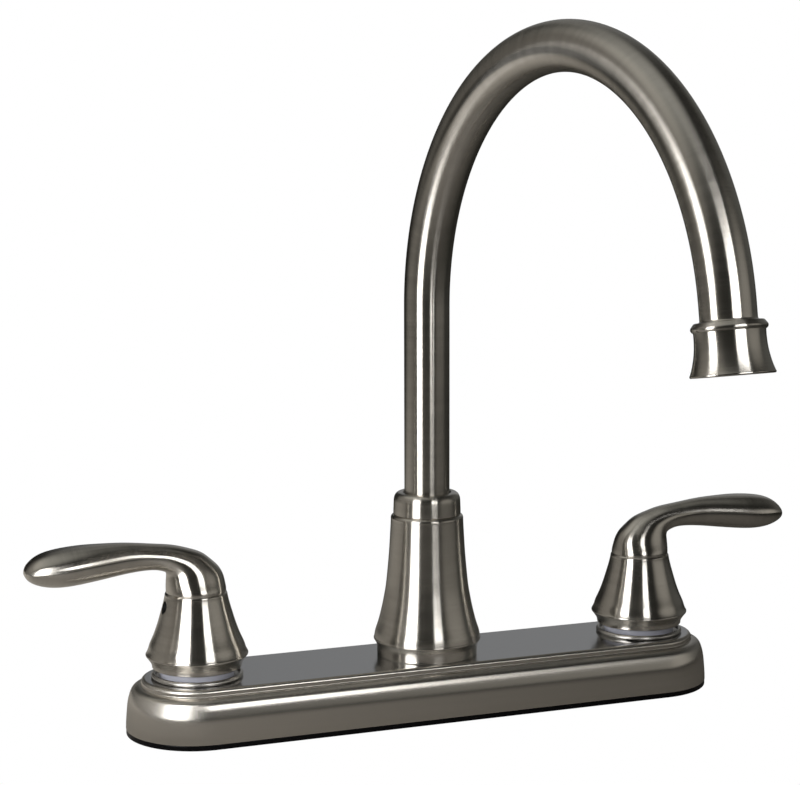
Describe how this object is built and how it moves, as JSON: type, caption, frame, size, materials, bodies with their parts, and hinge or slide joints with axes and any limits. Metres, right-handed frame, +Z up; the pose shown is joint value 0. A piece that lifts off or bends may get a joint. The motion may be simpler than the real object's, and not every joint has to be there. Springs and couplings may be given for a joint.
{
  "type": "two handle kitchen faucet",
  "caption": "Deck-mounted kitchen faucet with a swivelling gooseneck spout and a quarter-turn lever handle on each side of a long round-ended base.",
  "frame": {"origin": "centre of the underside of the base gasket, on the deck, midway between the handle axes", "axes": "+Z up from the deck, +X from the hot handle to the cold handle, -Y towards the sink and the user"},
  "size_m": [0.3437, 0.2516, 0.3446],
  "materials": {
    "brushed_nickel": "brushed satin nickel, fine circumferential lines",
    "bright_nickel": "polished nickel",
    "black_gasket": "smooth black elastomer",
    "nylon": "translucent white nylon",
    "brass": "machined",
    "copper": "drawn copper tube",
    "ceramic_disc": "lapped alumina",
    "black_rubber": "smooth",
    "aerator_plastic": "moulded acetal",
    "dark_steel": "black oxide steel",
    "zinc_steel": "zinc plated",
    "nut_plastic": "moulded"
  },
  "bodies": {
    "base": {"base_cover": "brushed_nickel", "spout_bell": "brushed_nickel", "spout_collar_nut": "brushed_nickel", "hot_trim_ring": "bright_nickel", "cold_trim_ring": "bright_nickel", "base_gasket": "black_gasket", "hot_glide_ring": "nylon", "cold_glide_ring": "nylon", "spout_bushing": "nylon", "spout_post": "brass", "hot_valve_body": "brass", "cold_valve_body": "brass", "hot_cartridge_housing": "brass", "cold_cartridge_housing": "brass", "hot_crossover_tube": "copper", "cold_crossover_tube": "copper", "hot_fixed_disc": "ceramic_disc", "cold_fixed_disc": "ceramic_disc", "hot_seat_seal": "black_rubber", "cold_seat_seal": "black_rubber", "hot_shank_washer": "zinc_steel", "cold_shank_washer": "zinc_steel", "hot_mounting_nut": "nut_plastic", "cold_mounting_nut": "nut_plastic"},
    "hot_handle": {"hot_handle": "brushed_nickel", "hot_set_screw": "dark_steel", "hot_stem": "brass", "hot_stem_o_ring": "black_rubber", "hot_moving_disc": "ceramic_disc"},
    "cold_handle": {"cold_handle": "brushed_nickel", "cold_set_screw": "dark_steel", "cold_stem": "brass", "cold_stem_o_ring": "black_rubber", "cold_moving_disc": "ceramic_disc"},
    "spout": {"spout_tube": "brushed_nickel", "spout_sleeve": "brass", "spout_o_rings": "black_rubber", "spout_nose": "brushed_nickel", "aerator_shell": "brushed_nickel", "aerator_washer": "black_rubber", "aerator_insert": "aerator_plastic"}
  },
  "joints": [
    {"name": "spout_swivel", "type": "hinge", "parent": "base", "child": "spout", "pos_m": [0, 0, 0.06], "axis": [0, 0, 1], "continuous": true},
    {"name": "hot_handle_turn", "type": "hinge", "parent": "base", "child": "hot_handle", "pos_m": [-0.1016, 0, 0.03], "axis": [0, 0, 1], "range_deg": [0, 90]},
    {"name": "cold_handle_turn", "type": "hinge", "parent": "base", "child": "cold_handle", "pos_m": [0.1016, 0, 0.03], "axis": [0, 0, -1], "range_deg": [0, 90]}
  ]
}
